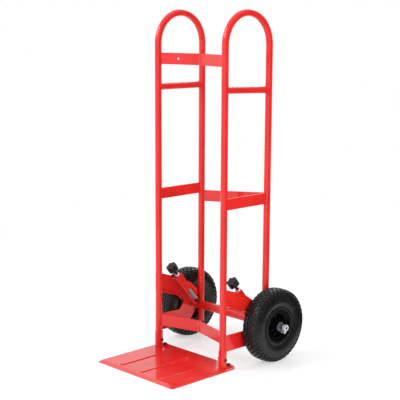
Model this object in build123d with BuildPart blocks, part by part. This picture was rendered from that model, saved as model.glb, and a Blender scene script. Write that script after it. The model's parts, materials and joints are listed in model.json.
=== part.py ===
from build123d import *

import os
from math import cos, pi, sin, sqrt

os.makedirs("parts", exist_ok=True)

# Hand truck in millimetres. +X is to its right, -Y towards the toe plate's edge, +Z up.
# The floor is Z = 0, and the origin lies midway between the two uprights.

# Frame tubes
overall_height = 1300
tube_d = 25.4
tube_wall = 1.5
upright_pitch = 348
loop_depth = 228
rear_leg_foot = 66
weld_gap = 0.1

# Rungs, rails and plates of the frame
rung_drop = 284
right_rung_front_rise = 3.7
right_rung_back_drop = 3.4
bar_thickness = 5
side_rail_width = 41
side_rail_height = 612
cross_plate_thickness = 4
cross_plate_width = 42
cross_plate_drop = 179.6
cross_plate_bow = 45
cross_plate_hole_d = 10
cross_plate_hole_inset = 85
middle_rail_width = 43.5
middle_rail_left_height = 579
middle_rail_right_height = 611
lower_rail_width = 45
lower_rail_height = 118
lower_rail_bow = 45
bar_bend_r = 30

# Toe plate
plate_overhang = 31
plate_front = 280
plate_back = 50
plate_thickness = 5
plate_edge = 1.5
plate_bevel_run = 22
plate_front_corner_r = 8
plate_back_corner_r = 28
rib_width = 18
rib_rise = 3
rib_fillet = 2.4
rib_groove_width = 12
rib_groove_depth = 2.5
rib_pitch = 112
rib_front = 247
side_rib_back = 75
middle_rib_back = 12

# Sockets on the toe plate
socket_d = 30.4
socket_clearance = 0.1
socket_top = 70
socket_bolt_height = 38
lug_width = 26
lug_corner_r = 6.5
lug_thickness = 4
lug_back = 45
lug_bolt_back = 31
lug_bolt_d = 8
lug_head_flats = 14
lug_head_height = 6
lug_head_chamfer = 1
cross_bolt_d = 6
cross_head_d = 11
cross_head_height = 4
cross_nut_flats = 10
cross_nut_height = 5
bolt_overhang = 2
thread_clearance = 0.1
hole_clearance = 0.25

# Plugs in the rear legs
plug_flange = 3
plug_depth = 16

# Axle
axle_back = 212
axle_height = 139.4
axle_d = 16
axle_tube_d = 35
axle_tube_wall = 2.5
axle_bore_d = 9
axle_bore_depth = 8
side_play = 0.3
running_clearance = 0.05
spacer_d = 24
spacer_length = 5.9
washer_d = 34
washer_thickness = 3
sleeve_d = 21
sleeve_length = 17
axle_nut_flats = 24
axle_nut_height = 13
axle_end_recess = 2.9

# Wheel brackets: outline heights and depths in the side view
bracket_thickness = 4
bracket_front = 3
bracket_top = 304.5
bracket_foot = 70
upper_arm_back = 95
upper_arm_back_height = 270
bracket_leg_back = 236
bracket_leg_top = 178
bracket_leg_foot = 126
heel_upper_back = 211
heel_upper_height = 114
heel_lower_back = 189
heel_lower_height = 89
lower_arm_back = 172
window_top_front = 244.5
window_top_back = 112
window_top_back_height = 201.5
window_back = 148
window_back_height = 161
window_foot_back = 122
window_foot_back_height = 131
window_foot = 132
bracket_corner_r = 8
window_corner_r = 16
lip_width = 16
lip_angle = 45
lip_end_share = 0.55
lip_thickness = 3
foot_flange_width = 9

# Lock pin carrier, measured along the pin axis from the axle centre and square to it
pin_inset = 10
pin_angle = 40.88
carrier_thickness = 3
carrier_foot = 26
carrier_top = 186
carrier_ridge = 20
carrier_top_rear = 15
carrier_notch_up = 141
carrier_notch_rear = 10.8
carrier_step_up = 119
carrier_step_rear = 20.9
carrier_leg_back = 187
carrier_leg_up = 70
carrier_foot_flange = 10
return_rise = 7
carrier_hole_d = 10
carrier_hole_low = 114
carrier_hole_high = 144
spring_window_low = 31.5
spring_window_high = 103
spring_window_front = 16
spring_window_rear = 9
spring_window_corner_r = 3

# Lock pin and what it slides in
pin_d = 9
pin_nose = 9
pin_nose_chamfer = 1.5
pin_hole_clearance = 0.3
collar_d = 16
collar_low = 32.3
collar_thickness = 2.7
guide_width = 15
guide_depth = 20
guide_low = 103
spigot_d = 14
spigot_height = 11
guide_nut_flats = 17
guide_nut_height = 9
spring_d = 17.5
spring_wire = 2.4
spring_turns = 9
steps_per_turn = 2
arcs_per_step = 2
samples_per_arc = 8
spring_seat_gap = 0.3

# Star knob
knob_d = 42
knob_height = 27
knob_centre_up = 230
knob_notch_d = 14
knob_notch_pitch_d = 48
knob_lobes = 6
knob_fillet = 4
knob_boss_d = 20
knob_boss_height = 6
knob_socket_depth = 16

# Wheels
wheel_r = 139.4
tread_flat = 30
shoulder_r = 131.4
shoulder_width = 66.6
shoulder_mid_r = 136.5
shoulder_mid_width = 54.8
tyre_width = 72
tyre_side_r = 106
tyre_widest_r = 114.5
tyre_ring_r = 78.5
tyre_ring_width = 66
bead_r = 63.5
bead_width = 54
bead_thickness = 8
tyre_wall = 6
crown_wall = 8
tube_rubber = 1.8
tube_gap = 0.9
fit_gap = 0.2

# Rims
rim_flange_r = 62.5
rim_flange_thickness = 3.5
rim_flare_r = 59.5
rim_flare_depth = 10.5
rim_seat_r = 51
rim_barrel_wall = 5
rim_web = 5
rim_hub_r = 20
rim_bore_r = 12
rim_ribs = 8
rim_rib_thickness = 4
rim_rib_hub_rise = 27
rim_rib_barrel_rise = 15
bearing_r = 16.5
bearing_width = 11
bearing_press = 0.02
bearing_groove = 1
bearing_race = 3.2
hub_sleeve_d = 21
rim_bolt_circle_r = 34
rim_bolt_d = 6
rim_bolt_count = 4
rim_head_flats = 10
rim_head_height = 4
rim_nut_height = 5

# Valve stem
valve_r = 41
valve_angle = -45
valve_d = 8
valve_foot = 11
valve_bend_r = 5
valve_end = 34
valve_cap_d = 9.5
valve_cap_length = 9

# One overrun for every through cut
overrun = 4

tube_r = tube_d / 2
upright_x = upright_pitch / 2
plate_width = upright_pitch + 2 * plate_overhang
cross_plate_hole_x = cross_plate_hole_inset - upright_x
bend_r = loop_depth / 2
spring_line = overall_height - tube_r - bend_r
rung_height = overall_height - rung_drop
cross_plate_height = overall_height - cross_plate_drop
socket_bore_r = tube_r + socket_clearance
axle_tube_r = axle_tube_d / 2
bracket_inner_x = upright_x + tube_r + weld_gap
bracket_outer_x = bracket_inner_x + bracket_thickness
pin_plane_x = upright_x - pin_inset
hub_half = shoulder_width / 2
wheel_x = bracket_outer_x + spacer_length + side_play + hub_half
hub_outer_x = wheel_x + hub_half
washer_x = hub_outer_x + side_play
sleeve_x = washer_x + washer_thickness
axle_nut_x = sleeve_x + sleeve_length
axle_end = axle_nut_x + axle_nut_height - axle_end_recess
coil_r = (spring_d - spring_wire) / 2


def side_plane(x):
    """Side view at a given X: local x is +Y and local y is +Z."""
    return Plane(origin=(x, 0, 0), x_dir=(0, 1, 0), z_dir=(1, 0, 0))


def front_plane(y):
    """Front view at a given Y: local x is +X, local y is +Z, and it faces -Y."""
    return Plane(origin=(0, y, 0), x_dir=(1, 0, 0), z_dir=(0, -1, 0))


def pin_plane(x, up=0):
    """Square to the lock pin: local x is +X, local y is up and back, and z runs up the pin."""
    lean = pin_angle * pi / 180
    direction = Vector(0, -sin(lean), cos(lean))
    foot = Vector(x, axle_back, axle_height)
    return Plane(origin=foot + direction * up, x_dir=(1, 0, 0), z_dir=direction)


def carrier_plane(x):
    """Side view of the pin carrier: local x is square to the pin, local y runs up the pin."""
    across = pin_plane(x).y_dir
    return Plane(origin=(x, axle_back, axle_height), x_dir=across, z_dir=(1, 0, 0))


def wheel_plane(x, turn=0):
    """Through the axle: local x is +X and local y is radial, turned from straight up towards -Y."""
    tilt = turn * pi / 180
    return Plane(origin=(x, axle_back, axle_height), x_dir=(1, 0, 0), z_dir=(0, -cos(tilt), -sin(tilt)))


axle_line = Axis((0, axle_back, axle_height), (1, 0, 0))


def keep(part, name):
    part.label = name
    export_step(part, f"parts/{name}.step")


def keep_pair(right, name):
    """Write the right-hand piece and its mirror image on the left."""
    keep(right, f"right_{name}")
    with BuildPart() as left:
        mirror(right, about=Plane.YZ)
    keep(left.part, f"left_{name}")


def keep_both(right, name):
    """Write the right-hand piece and its mirror image as one group of separate solids."""
    with BuildPart() as group:
        add(right)
        mirror(right, about=Plane.YZ)
    keep(group.part, name)


def hexagon_r(flats):
    return flats / sqrt(3)


# Hairpin loop: front upright, round top and rear leg, with a saddle for the axle tube
with BuildPart() as loop_tube:
    with BuildLine(side_plane(upright_x)) as loop_path:
        upright_line = Line((0, plate_thickness), (0, spring_line))
        loop_bend = RadiusArc((0, spring_line), (loop_depth, spring_line), bend_r)
        leg_line = Line((loop_depth, spring_line), (loop_depth, rear_leg_foot))
    with BuildSketch(Plane(origin=(upright_x, 0, plate_thickness))):
        Circle(tube_r)
        Circle(tube_r - tube_wall, mode=Mode.SUBTRACT)
    sweep(path=loop_path.wires()[0])
    with BuildSketch(side_plane(upright_x - tube_r - overrun)):
        with Locations((axle_back, axle_height)):
            Circle(axle_tube_r + weld_gap)
    extrude(amount=tube_d + 2 * overrun, mode=Mode.SUBTRACT)
    with BuildSketch(side_plane(upright_x - tube_r - overrun)):
        with Locations((0, socket_bolt_height)):
            Circle(cross_bolt_d / 2 + hole_clearance)
    extrude(amount=tube_d + 2 * overrun, mode=Mode.SUBTRACT)
keep_pair(loop_tube.part, "loop_tube")

# Plug in the open lower end of each rear leg
with BuildPart() as leg_plug:
    with BuildSketch(Plane(origin=(upright_x, loop_depth, rear_leg_foot - plug_flange))):
        Circle(tube_r)
    extrude(amount=plug_flange)
    with BuildSketch(Plane(origin=(upright_x, loop_depth, rear_leg_foot))):
        Circle(tube_r - tube_wall - weld_gap)
    extrude(amount=plug_depth)
    fillet(leg_plug.faces().sort_by(Axis.Z)[0].edges(), radius=plug_flange / 2)
keep_both(leg_plug.part, "leg_end_plugs")


def side_rung(front_height, back_height):
    """Right-hand round rung between upright and leg, coped to both tubes."""
    run = Vector(0, loop_depth, back_height - front_height)
    with BuildPart() as rung:
        with BuildSketch(Plane(origin=(upright_x, 0, front_height), x_dir=(1, 0, 0), z_dir=run)):
            Circle(tube_r)
            Circle(tube_r - tube_wall, mode=Mode.SUBTRACT)
        extrude(amount=run.length)
        for tube_y, tube_z in ((0, front_height), (loop_depth, back_height)):
            with BuildSketch(Plane(origin=(upright_x, tube_y, tube_z - tube_d))):
                Circle(tube_r + weld_gap)
            extrude(amount=2 * tube_d, mode=Mode.SUBTRACT)
    return rung.part


# Rungs: the right one leans forward and up, the left one is level
keep(side_rung(rung_height + right_rung_front_rise, rung_height - right_rung_back_drop), "right_side_rung")
with BuildPart() as left_side_rung:
    mirror(side_rung(rung_height, rung_height), about=Plane.YZ)
keep(left_side_rung.part, "left_side_rung")

# Flat side rail, coped to both tubes
with BuildPart() as side_rail:
    with BuildSketch(side_plane(upright_x - bar_thickness / 2)):
        with Locations((loop_depth / 2, side_rail_height)):
            Rectangle(loop_depth, side_rail_width)
    extrude(amount=bar_thickness)
    for tube_y in (0, loop_depth):
        with BuildSketch(Plane(origin=(upright_x, tube_y, side_rail_height - side_rail_width))):
            Circle(tube_r + weld_gap)
        extrude(amount=2 * side_rail_width, mode=Mode.SUBTRACT)
keep_pair(side_rail.part, "side_rail")


def bent_bar(height, width, thickness, bow):
    """Flat bar between the uprights, bent back to a shallow V and coped to both tubes."""
    half = thickness / 2
    with BuildPart() as bar:
        with BuildSketch(Plane.XY.offset(height - width / 2)):
            with BuildLine():
                front_edge = FilletPolyline(
                    (-upright_x, -half),
                    (0, bow - half),
                    (upright_x, -half),
                    radius=bar_bend_r + thickness,
                )
                back_edge = FilletPolyline(
                    (-upright_x, half),
                    (0, bow + half),
                    (upright_x, half),
                    radius=bar_bend_r,
                )
                Line(front_edge @ 0, back_edge @ 0)
                Line(front_edge @ 1, back_edge @ 1)
            make_face()
        extrude(amount=width)
        for tube_x in (-upright_x, upright_x):
            with BuildSketch(Plane(origin=(tube_x, 0, height - width))):
                Circle(tube_r + weld_gap)
            extrude(amount=2 * width, mode=Mode.SUBTRACT)
    return bar.part


# Bent plate between the uprights near the top, with the one hole that it has on its left arm
with BuildPart() as upper_cross_plate:
    add(bent_bar(cross_plate_height, cross_plate_width, cross_plate_thickness, cross_plate_bow))
    with BuildSketch(front_plane(cross_plate_bow + overrun)):
        with Locations((cross_plate_hole_x, cross_plate_height)):
            Circle(cross_plate_hole_d / 2)
    extrude(amount=cross_plate_bow + 2 * overrun, mode=Mode.SUBTRACT)
keep(upper_cross_plate.part, "upper_cross_plate")

# Bent rail between the uprights above the toe plate
keep(bent_bar(lower_rail_height, lower_rail_width, bar_thickness, lower_rail_bow), "lower_cross_rail")

# Flat rail between the rear legs, which rises to the right
with BuildPart() as middle_cross_rail:
    half_rail = middle_rail_width / 2
    with BuildSketch(front_plane(loop_depth + bar_thickness / 2)):
        Polygon(
            (-upright_x, middle_rail_left_height - half_rail),
            (upright_x, middle_rail_right_height - half_rail),
            (upright_x, middle_rail_right_height + half_rail),
            (-upright_x, middle_rail_left_height + half_rail),
            align=None,
        )
    extrude(amount=bar_thickness)
    for tube_x in (-upright_x, upright_x):
        with BuildSketch(Plane(origin=(tube_x, loop_depth, middle_rail_left_height - middle_rail_width))):
            Circle(tube_r + weld_gap)
        extrude(amount=middle_rail_right_height - middle_rail_left_height + 2 * middle_rail_width,
                mode=Mode.SUBTRACT)
keep(middle_cross_rail.part, "middle_cross_rail")

# Toe plate: bevelled front edge, three pressed ribs and two tapped holes for the lug bolts
with BuildPart() as toe_plate:
    plate_depth = plate_front + plate_back
    with BuildSketch():
        with Locations((0, plate_back - plate_depth / 2)):
            Rectangle(plate_width, plate_depth)
    extrude(amount=plate_thickness)
    uprights_of_plate = toe_plate.edges().filter_by(Axis.Z).group_by(Axis.Y)
    fillet(uprights_of_plate[0], radius=plate_front_corner_r)
    uprights_of_plate = toe_plate.edges().filter_by(Axis.Z).group_by(Axis.Y)
    fillet(uprights_of_plate[-1], radius=plate_back_corner_r)
    bevel_slope = (plate_thickness - plate_edge) / plate_bevel_run
    with BuildSketch(side_plane(-plate_width / 2 - overrun)):
        Polygon(
            (-plate_front - overrun, plate_edge - bevel_slope * overrun),
            (-plate_front + plate_bevel_run + overrun, plate_thickness + bevel_slope * overrun),
            (-plate_front - overrun, plate_thickness + bevel_slope * overrun),
            align=None,
        )
    extrude(amount=plate_width + 2 * overrun, mode=Mode.SUBTRACT)
    ribs = ((-rib_pitch, side_rib_back), (0, middle_rib_back), (rib_pitch, side_rib_back))
    with BuildSketch(Plane.XY.offset(plate_thickness)):
        for rib_x, rib_back in ribs:
            with Locations((rib_x, -(rib_front + rib_back) / 2)):
                SlotOverall(rib_front - rib_back, rib_width, rotation=90)
    extrude(amount=rib_rise)
    rib_tops = toe_plate.faces().group_by(Axis.Z)[-1]
    fillet(rib_tops.edges(), radius=rib_fillet)
    with BuildSketch():
        for rib_x, rib_back in ribs:
            groove_length = rib_front - rib_back - rib_width + rib_groove_width
            with Locations((rib_x, -(rib_front + rib_back) / 2)):
                SlotOverall(groove_length, rib_groove_width, rotation=90)
    extrude(amount=rib_groove_depth, mode=Mode.SUBTRACT)
    with BuildSketch():
        with Locations((-upright_x, lug_bolt_back), (upright_x, lug_bolt_back)):
            Circle(lug_bolt_d / 2 + thread_clearance)
    extrude(amount=plate_thickness, mode=Mode.SUBTRACT)
keep(toe_plate.part, "toe_plate")

# Socket that an upright stands in, with a lug behind it that is bolted to the plate
with BuildPart() as toe_socket:
    with BuildSketch(Plane(origin=(upright_x, 0, plate_thickness))):
        Circle(socket_d / 2)
    extrude(amount=socket_top - plate_thickness)
    with BuildSketch(Plane(origin=(upright_x, 0, plate_thickness))):
        with Locations((0, lug_back / 2)):
            Rectangle(lug_width, lug_back)
    extrude(amount=lug_thickness)
    lug_corners = toe_socket.edges().filter_by(Axis.Z).group_by(Axis.Y)[-1]
    fillet(lug_corners, radius=lug_corner_r)
    with BuildSketch(Plane(origin=(upright_x, 0, plate_thickness))):
        Circle(socket_bore_r)
    extrude(amount=socket_top, mode=Mode.SUBTRACT)
    with BuildSketch(Plane(origin=(upright_x, 0, plate_thickness))):
        with Locations((0, lug_bolt_back)):
            Circle(lug_bolt_d / 2 + hole_clearance)
    extrude(amount=lug_thickness, mode=Mode.SUBTRACT)
    with BuildSketch(side_plane(upright_x - socket_d / 2 - overrun)):
        with Locations((0, socket_bolt_height)):
            Circle(cross_bolt_d / 2 + hole_clearance)
    extrude(amount=socket_d + 2 * overrun, mode=Mode.SUBTRACT)
keep_pair(toe_socket.part, "toe_socket")

# Lug bolts: hexagon heads on the lugs, shanks in the plate
with BuildPart() as lug_bolt:
    lug_seat = plate_thickness + lug_thickness
    with BuildSketch(Plane(origin=(upright_x, lug_bolt_back, lug_seat))):
        RegularPolygon(hexagon_r(lug_head_flats), 6)
    extrude(amount=lug_head_height)
    with BuildSketch(Plane(origin=(upright_x, lug_bolt_back, plate_edge))):
        Circle(lug_bolt_d / 2)
    extrude(amount=lug_seat - plate_edge)
    chamfer(lug_bolt.faces().sort_by(Axis.Z)[-1].edges(), length=lug_head_chamfer)
keep_both(lug_bolt.part, "lug_bolts")

# Cross bolts: round heads on the socket's outer side, nuts on its inner side
with BuildPart() as cross_bolt:
    with BuildSketch(side_plane(upright_x + socket_d / 2)):
        with Locations((0, socket_bolt_height)):
            Circle(cross_head_d / 2)
    extrude(amount=cross_head_height)
    fillet(cross_bolt.faces().sort_by(Axis.X)[-1].edges(), radius=cross_head_height / 2)
    shank_length = socket_d + cross_nut_height + bolt_overhang
    with BuildSketch(side_plane(upright_x + socket_d / 2 - shank_length)):
        with Locations((0, socket_bolt_height)):
            Circle(cross_bolt_d / 2)
    extrude(amount=shank_length)
keep_both(cross_bolt.part, "socket_bolts")

with BuildPart() as cross_nut:
    with BuildSketch(side_plane(upright_x - socket_d / 2 - cross_nut_height)):
        with Locations((0, socket_bolt_height)):
            RegularPolygon(hexagon_r(cross_nut_flats), 6)
            Circle(cross_bolt_d / 2 + thread_clearance, mode=Mode.SUBTRACT)
    extrude(amount=cross_nut_height)
keep_both(cross_nut.part, "socket_nuts")

# Pressed bracket on the outer side of the tubes: two arms, a D window and the axle seat
with BuildPart() as wheel_bracket:
    with BuildSketch(side_plane(bracket_inner_x)) as bracket_face:
        Polygon(
            (-bracket_front, bracket_foot),
            (lower_arm_back, bracket_foot),
            (heel_lower_back, heel_lower_height),
            (heel_upper_back, heel_upper_height),
            (bracket_leg_back, bracket_leg_foot),
            (bracket_leg_back, bracket_leg_top),
            (upper_arm_back, upper_arm_back_height),
            (-bracket_front, bracket_top),
            align=None,
        )
        rear_corners = bracket_face.vertices().group_by(Axis.Y)[1:]
        fillet([corner for group in rear_corners for corner in group], radius=bracket_corner_r)
    extrude(amount=bracket_thickness)
    with BuildSketch(side_plane(bracket_inner_x)) as window:
        Polygon(
            (-bracket_front - overrun, window_foot),
            (window_foot_back, window_foot_back_height),
            (window_back, window_back_height),
            (window_top_back, window_top_back_height),
            (-bracket_front - overrun, window_top_front),
            align=None,
        )
        window_corners = window.vertices().group_by(Axis.Y)[1:]
        fillet([corner for group in window_corners for corner in group], radius=window_corner_r)
    extrude(amount=bracket_thickness, mode=Mode.SUBTRACT)
    with BuildSketch(side_plane(bracket_inner_x)):
        with Locations((axle_back, axle_height)):
            Circle(axle_d / 2 + weld_gap)
    extrude(amount=bracket_thickness, mode=Mode.SUBTRACT)
    # Lip bent inwards along the top of the window and round its upper rear corner
    lip_front = tube_r + lip_width / 2
    lip_slope = (window_top_back_height - window_top_front) / (window_top_back + bracket_front + overrun)
    lip_front_height = window_top_front + lip_slope * (lip_front + bracket_front + overrun)
    lip_end_back = window_top_back + (window_back - window_top_back) * lip_end_share
    lip_end_height = window_top_back_height + (window_back_height - window_top_back_height) * lip_end_share
    lip_turn = lip_angle * pi / 180
    lip_run = Vector(sin(lip_turn), -cos(lip_turn)) * lip_width
    lip_skin = Vector(-cos(lip_turn), -sin(lip_turn)) * lip_thickness
    lip_root = Vector(0, lip_thickness * sin(lip_turn))
    with BuildLine(side_plane(bracket_inner_x)) as lip_path:
        FilletPolyline(
            (lip_front, lip_front_height),
            (window_top_back, window_top_back_height),
            (lip_end_back, lip_end_height),
            radius=window_corner_r,
        )
    lip_origin = Vector(bracket_inner_x, lip_front, lip_front_height)
    with BuildSketch(Plane(origin=lip_origin, x_dir=(-1, 0, 0), z_dir=(0, 1, lip_slope))):
        Polygon(
            lip_root + lip_skin,
            lip_root,
            lip_root + lip_run,
            lip_root + lip_run + lip_skin,
            align=None,
        )
    sweep(path=lip_path.wires()[0])
    # Foot flange bent inwards along the lower arm
    with BuildSketch(side_plane(bracket_inner_x - foot_flange_width)):
        with BuildLine():
            Polyline(
                (tube_r + weld_gap, bracket_foot),
                (lower_arm_back - bracket_corner_r, bracket_foot),
                (lower_arm_back - bracket_corner_r, bracket_foot + lip_thickness),
                (tube_r + weld_gap, bracket_foot + lip_thickness),
                close=True,
            )
        make_face()
    extrude(amount=foot_flange_width)
keep_pair(wheel_bracket.part, "wheel_bracket")

# Bent carrier on the bracket's inner side: a face with the spring window, a wall with two
# holes, a foot flange on the bracket and a return wall above the window's open end
with BuildPart() as pin_carrier:
    face_outer_x = pin_plane_x - guide_width / 2
    face_inner_x = face_outer_x - carrier_thickness
    wall_depth = bracket_inner_x - face_inner_x
    up_dir = pin_plane(0).z_dir
    across_dir = pin_plane(0).y_dir
    leg_foot_across = (carrier_leg_back - axle_back - carrier_foot * up_dir.Y) / across_dir.Y
    leg_top_across = (carrier_leg_back - axle_back - carrier_leg_up * up_dir.Y) / across_dir.Y
    with BuildSketch(carrier_plane(face_inner_x)):
        Polygon(
            (-carrier_ridge, carrier_foot),
            (leg_foot_across, carrier_foot),
            (leg_top_across, carrier_leg_up),
            (carrier_step_rear, carrier_step_up),
            (carrier_notch_rear, carrier_notch_up),
            (carrier_top_rear, carrier_top),
            (-carrier_ridge, carrier_top),
            align=None,
        )
    extrude(amount=carrier_thickness)
    window_middle = (spring_window_rear - spring_window_front) / 2
    window_width = spring_window_front + spring_window_rear
    with BuildSketch(carrier_plane(face_inner_x)):
        with Locations((window_middle, (spring_window_low + spring_window_high) / 2)):
            RectangleRounded(window_width, spring_window_high - spring_window_low, spring_window_corner_r)
    extrude(amount=carrier_thickness, mode=Mode.SUBTRACT)
    carrier_length = carrier_top - carrier_foot
    carrier_middle = (carrier_top + carrier_foot) / 2
    with BuildSketch(carrier_plane(face_inner_x)):
        with Locations((-carrier_ridge + carrier_thickness / 2, carrier_middle)):
            Rectangle(carrier_thickness, carrier_length)
    extrude(amount=wall_depth)
    with BuildSketch(carrier_plane(bracket_inner_x - carrier_thickness)):
        with Locations((-carrier_ridge - carrier_foot_flange / 2, carrier_middle)):
            Rectangle(carrier_foot_flange, carrier_length)
    extrude(amount=carrier_thickness)
    ridge_edges = pin_carrier.edges().filter_by(lambda edge: abs(edge.length - carrier_length) < weld_gap)
    outer_ridge = ridge_edges.sort_by(Axis.X)[0:1]
    fillet(outer_ridge, radius=carrier_thickness - weld_gap)
    hole_x = (face_outer_x + bracket_inner_x - carrier_thickness) / 2
    for hole_up in (carrier_hole_low, carrier_hole_high):
        wall_outside = pin_plane(hole_x, hole_up)
        hole_origin = wall_outside.origin - across_dir * (carrier_ridge + overrun)
        with BuildSketch(Plane(origin=hole_origin, x_dir=(1, 0, 0), z_dir=across_dir)):
            Circle(carrier_hole_d / 2)
        extrude(amount=carrier_thickness + 2 * overrun, mode=Mode.SUBTRACT)
    # The return wall starts above the place where the spring window opens through the rear edge
    opening_up = (carrier_leg_back - axle_back - spring_window_rear * across_dir.Y) / up_dir.Y
    return_foot = axle_height + spring_window_rear * across_dir.Z + opening_up * up_dir.Z + return_rise
    return_top = axle_height + leg_top_across * across_dir.Z + carrier_leg_up * up_dir.Z
    with BuildSketch(front_plane(carrier_leg_back)):
        with Locations(((face_inner_x + bracket_inner_x) / 2, (return_foot + return_top) / 2)):
            Rectangle(bracket_inner_x - face_inner_x, return_top - return_foot)
    extrude(amount=carrier_thickness)
keep_pair(pin_carrier.part, "pin_carrier")

# Bored block that the lock pin slides in, with a threaded spigot on top
with BuildPart() as pin_guide:
    with BuildSketch(pin_plane(pin_plane_x, guide_low)):
        Rectangle(guide_width, guide_depth)
    extrude(amount=carrier_top - guide_low)
    with BuildSketch(pin_plane(pin_plane_x, carrier_top)):
        Circle(spigot_d / 2)
    extrude(amount=spigot_height)
    with BuildSketch(pin_plane(pin_plane_x, guide_low)):
        Circle(pin_d / 2 + running_clearance)
    extrude(amount=carrier_top - guide_low + spigot_height, mode=Mode.SUBTRACT)
keep_pair(pin_guide.part, "pin_guide")

# Zinc nut on the spigot
with BuildPart() as pin_guide_nut:
    with BuildSketch(pin_plane(pin_plane_x, carrier_top)):
        RegularPolygon(hexagon_r(guide_nut_flats), 6)
        Circle(spigot_d / 2 + thread_clearance, mode=Mode.SUBTRACT)
    extrude(amount=guide_nut_height)
keep_pair(pin_guide_nut.part, "pin_guide_nut")

# Axle tube between the brackets, with a hole for the nose of each lock pin
with BuildPart() as axle_tube:
    with BuildSketch(side_plane(-bracket_inner_x)):
        with Locations((axle_back, axle_height)):
            Circle(axle_tube_r)
            Circle(axle_tube_r - axle_tube_wall, mode=Mode.SUBTRACT)
    extrude(amount=2 * bracket_inner_x)
    for hole_x in (-pin_plane_x, pin_plane_x):
        with BuildSketch(pin_plane(hole_x)):
            Circle(pin_d / 2 + pin_hole_clearance)
        extrude(amount=axle_tube_d, mode=Mode.SUBTRACT)
keep(axle_tube.part, "axle_tube")

# Axle rod through both wheels, with a centre bore in each end
with BuildPart() as axle_rod:
    with BuildSketch(side_plane(-axle_end)):
        with Locations((axle_back, axle_height)):
            Circle(axle_d / 2)
    extrude(amount=2 * axle_end)
    for end_plane in (side_plane(-axle_end), side_plane(axle_end - axle_bore_depth)):
        with BuildSketch(end_plane):
            with Locations((axle_back, axle_height)):
                Circle(axle_bore_d / 2)
        extrude(amount=axle_bore_depth, mode=Mode.SUBTRACT)
keep(axle_rod.part, "axle_rod")


def axle_ring(start_x, length, outer_r, bore_r):
    """A plain ring on the axle rod."""
    with BuildPart() as ring:
        with BuildSketch(side_plane(start_x)):
            with Locations((axle_back, axle_height)):
                Circle(outer_r)
                Circle(bore_r, mode=Mode.SUBTRACT)
        extrude(amount=length)
    return ring.part


# Spacers, washers and sleeves that hold each wheel on the rod
rod_bore_r = axle_d / 2 + thread_clearance
keep_both(axle_ring(bracket_outer_x, spacer_length, spacer_d / 2, rod_bore_r), "axle_spacers")
keep_both(axle_ring(washer_x, washer_thickness, washer_d / 2, rod_bore_r), "hub_washers")
keep_both(axle_ring(sleeve_x, sleeve_length, sleeve_d / 2, rod_bore_r), "axle_sleeves")

with BuildPart() as axle_nut:
    with BuildSketch(side_plane(axle_nut_x)):
        with Locations((axle_back, axle_height)):
            RegularPolygon(hexagon_r(axle_nut_flats), 6)
            Circle(rod_bore_r, mode=Mode.SUBTRACT)
    extrude(amount=axle_nut_height)
keep_both(axle_nut.part, "axle_nuts")

# Tyre: a hollow ring with a flat tread, a raised ring on each side and two beads
with BuildPart() as tyre:
    with BuildSketch(wheel_plane(wheel_x)) as tyre_section:
        with BuildLine():
            crown = Line((0, wheel_r), (tread_flat / 2, wheel_r))
            shoulder = ThreePointArc(
                crown @ 1,
                (shoulder_mid_width / 2, shoulder_mid_r),
                (shoulder_width / 2, shoulder_r),
            )
            wall = ThreePointArc(
                shoulder @ 1,
                (tyre_width / 2, tyre_widest_r),
                (tyre_ring_width / 2, tyre_ring_r),
            )
            skirt = Line(wall @ 1, (bead_width / 2 + rim_flange_thickness, bead_r))
            lower = Line(skirt @ 1, (bead_width / 2, bead_r))
            outside = Line(lower @ 1, (bead_width / 2, rim_seat_r + fit_gap))
            seat = Line(outside @ 1, (bead_width / 2 - bead_thickness, rim_seat_r + fit_gap))
            inside = Line(seat @ 1, (bead_width / 2 - bead_thickness, bead_r))
            inner_side = ThreePointArc(
                inside @ 1,
                (tyre_width / 2 - tyre_wall, tyre_side_r - tyre_wall),
                (shoulder_width / 2 - tyre_wall, shoulder_r - tyre_wall),
            )
            inner_crown = Line(inner_side @ 1, (0, wheel_r - crown_wall))
            Line(inner_crown @ 1, crown @ 0)
        make_face()
        mirror(about=Plane.YZ)
    revolve(axis=axle_line)
keep_pair(tyre.part, "tyre")

# Inner tube: a thin hollow ring that fills the tyre
with BuildPart() as inner_tube:
    tube_outer_half = tyre_width / 2 - tyre_wall - tube_gap
    tube_low_r = bead_r + bead_thickness / 2
    tube_high_r = wheel_r - crown_wall - tube_gap
    tube_mid_r = (tube_low_r + tube_high_r) / 2
    tube_half_height = (tube_high_r - tube_low_r) / 2
    with BuildSketch(wheel_plane(wheel_x)):
        with Locations((0, tube_mid_r)):
            Ellipse(tube_outer_half, tube_half_height)
            Ellipse(tube_outer_half - tube_rubber, tube_half_height - tube_rubber, mode=Mode.SUBTRACT)
    revolve(axis=axle_line)
keep_pair(inner_tube.part, "inner_tube")


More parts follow.
